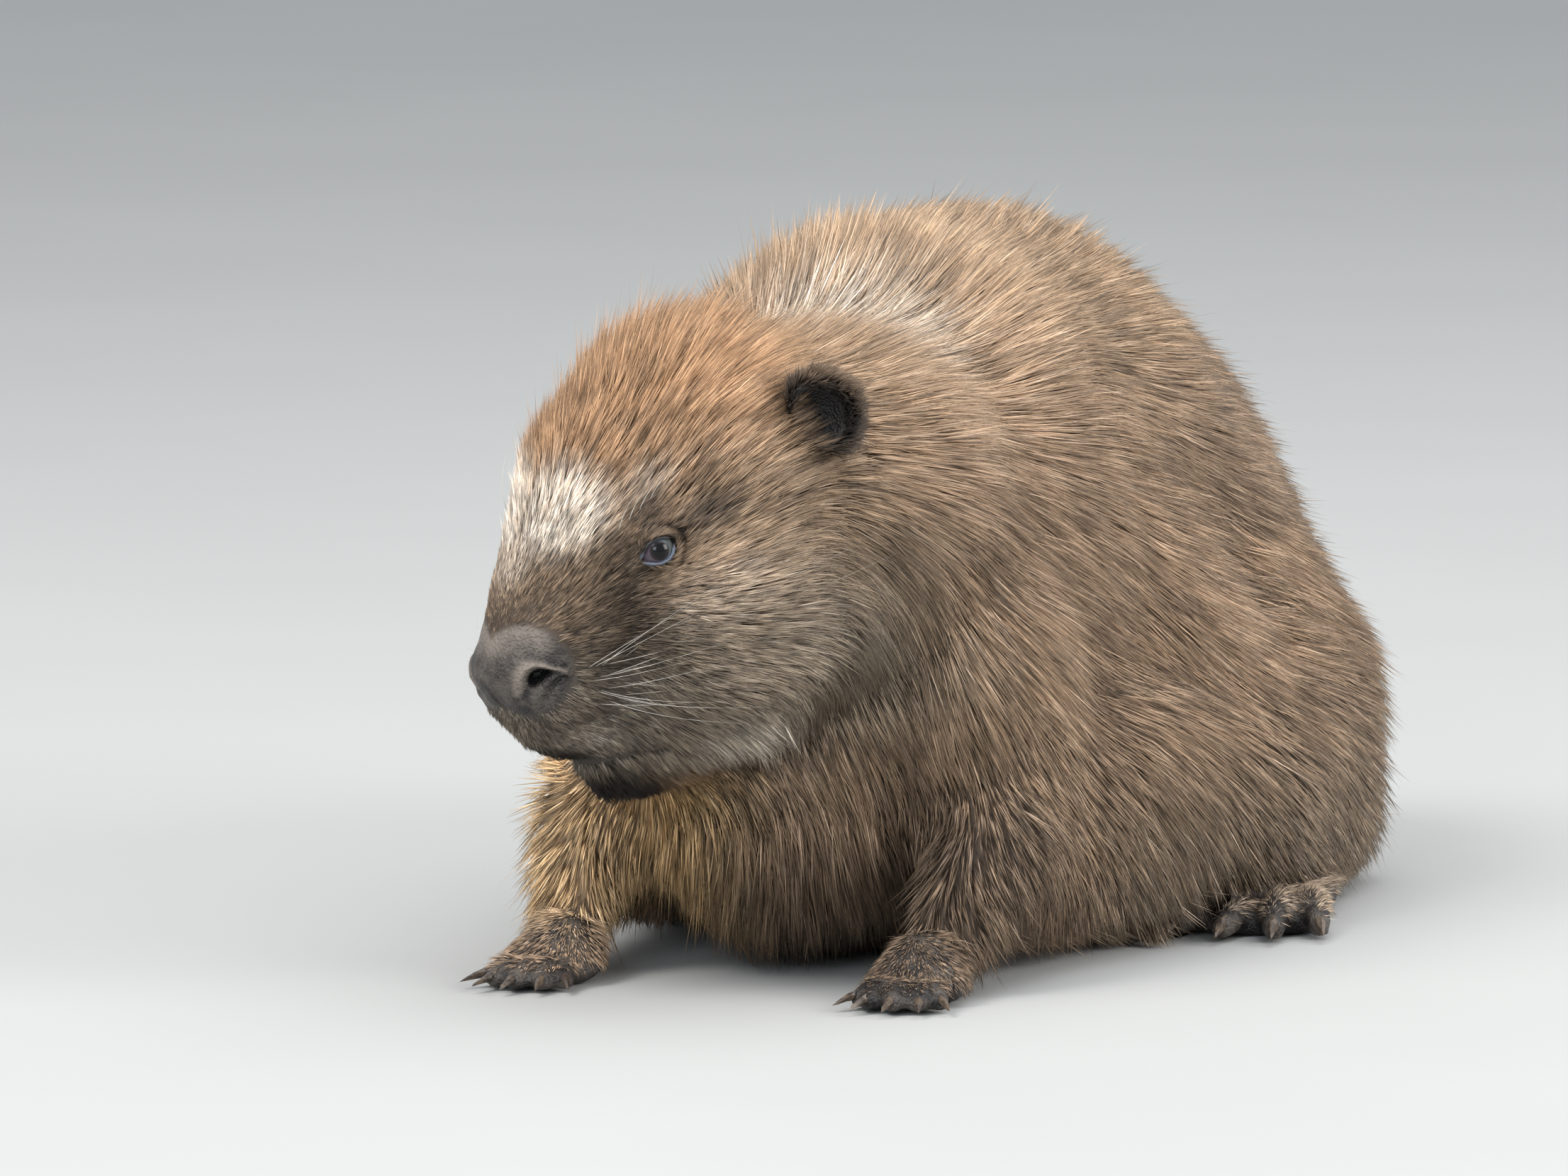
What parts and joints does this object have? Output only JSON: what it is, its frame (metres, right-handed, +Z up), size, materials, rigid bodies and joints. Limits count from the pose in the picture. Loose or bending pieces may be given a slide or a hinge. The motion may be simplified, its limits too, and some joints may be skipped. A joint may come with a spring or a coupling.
{
  "type": "beaver",
  "caption": "Life-size still model of a crouching Eurasian beaver with its head turned to its right, resting on belly, webbed hind feet, fore feet and flat tail",
  "frame": {"origin": "on the floor, under the middle of the animal's outline from above", "axes": "the trunk faces -Y, +X is the animal's left, +Z is up"},
  "size_m": [0.3146, 0.7716, 0.263],
  "materials": {
    "coat": "coarse brown fur",
    "face_coat": "short grey-brown fur",
    "ear_skin": "soft dark skin",
    "bare_skin": "dark leathery skin",
    "tail_skin": "scaly dark skin",
    "eye": "wet and glossy",
    "claw": "smooth dark horn"
  },
  "bodies": {
    "root": {"trunk": "coat", "chest": "coat", "rump": "coat", "neck": "coat", "head": "face_coat", "lower_jaw": "face_coat", "nose": "bare_skin", "tail": "tail_skin", "eye_left": "eye", "ear_left": "ear_skin", "fore_leg_left": "coat", "hind_leg_left": "coat", "fore_foot_left": "bare_skin", "hind_foot_left": "bare_skin", "fore_claw_left_1": "claw", "hind_claw_left_1": "claw", "fore_claw_left_2": "claw", "hind_claw_left_2": "claw", "fore_claw_left_3": "claw", "hind_claw_left_3": "claw", "fore_claw_left_4": "claw", "hind_claw_left_4": "claw", "fore_claw_left_5": "claw", "hind_claw_left_5": "claw", "eye_right": "eye", "ear_right": "ear_skin", "fore_leg_right": "coat", "hind_leg_right": "coat", "fore_foot_right": "bare_skin", "hind_foot_right": "bare_skin", "fore_claw_right_1": "claw", "hind_claw_right_1": "claw", "fore_claw_right_2": "claw", "hind_claw_right_2": "claw", "fore_claw_right_3": "claw", "hind_claw_right_3": "claw", "fore_claw_right_4": "claw", "hind_claw_right_4": "claw", "fore_claw_right_5": "claw", "hind_claw_right_5": "claw"}
  },
  "joints": []
}
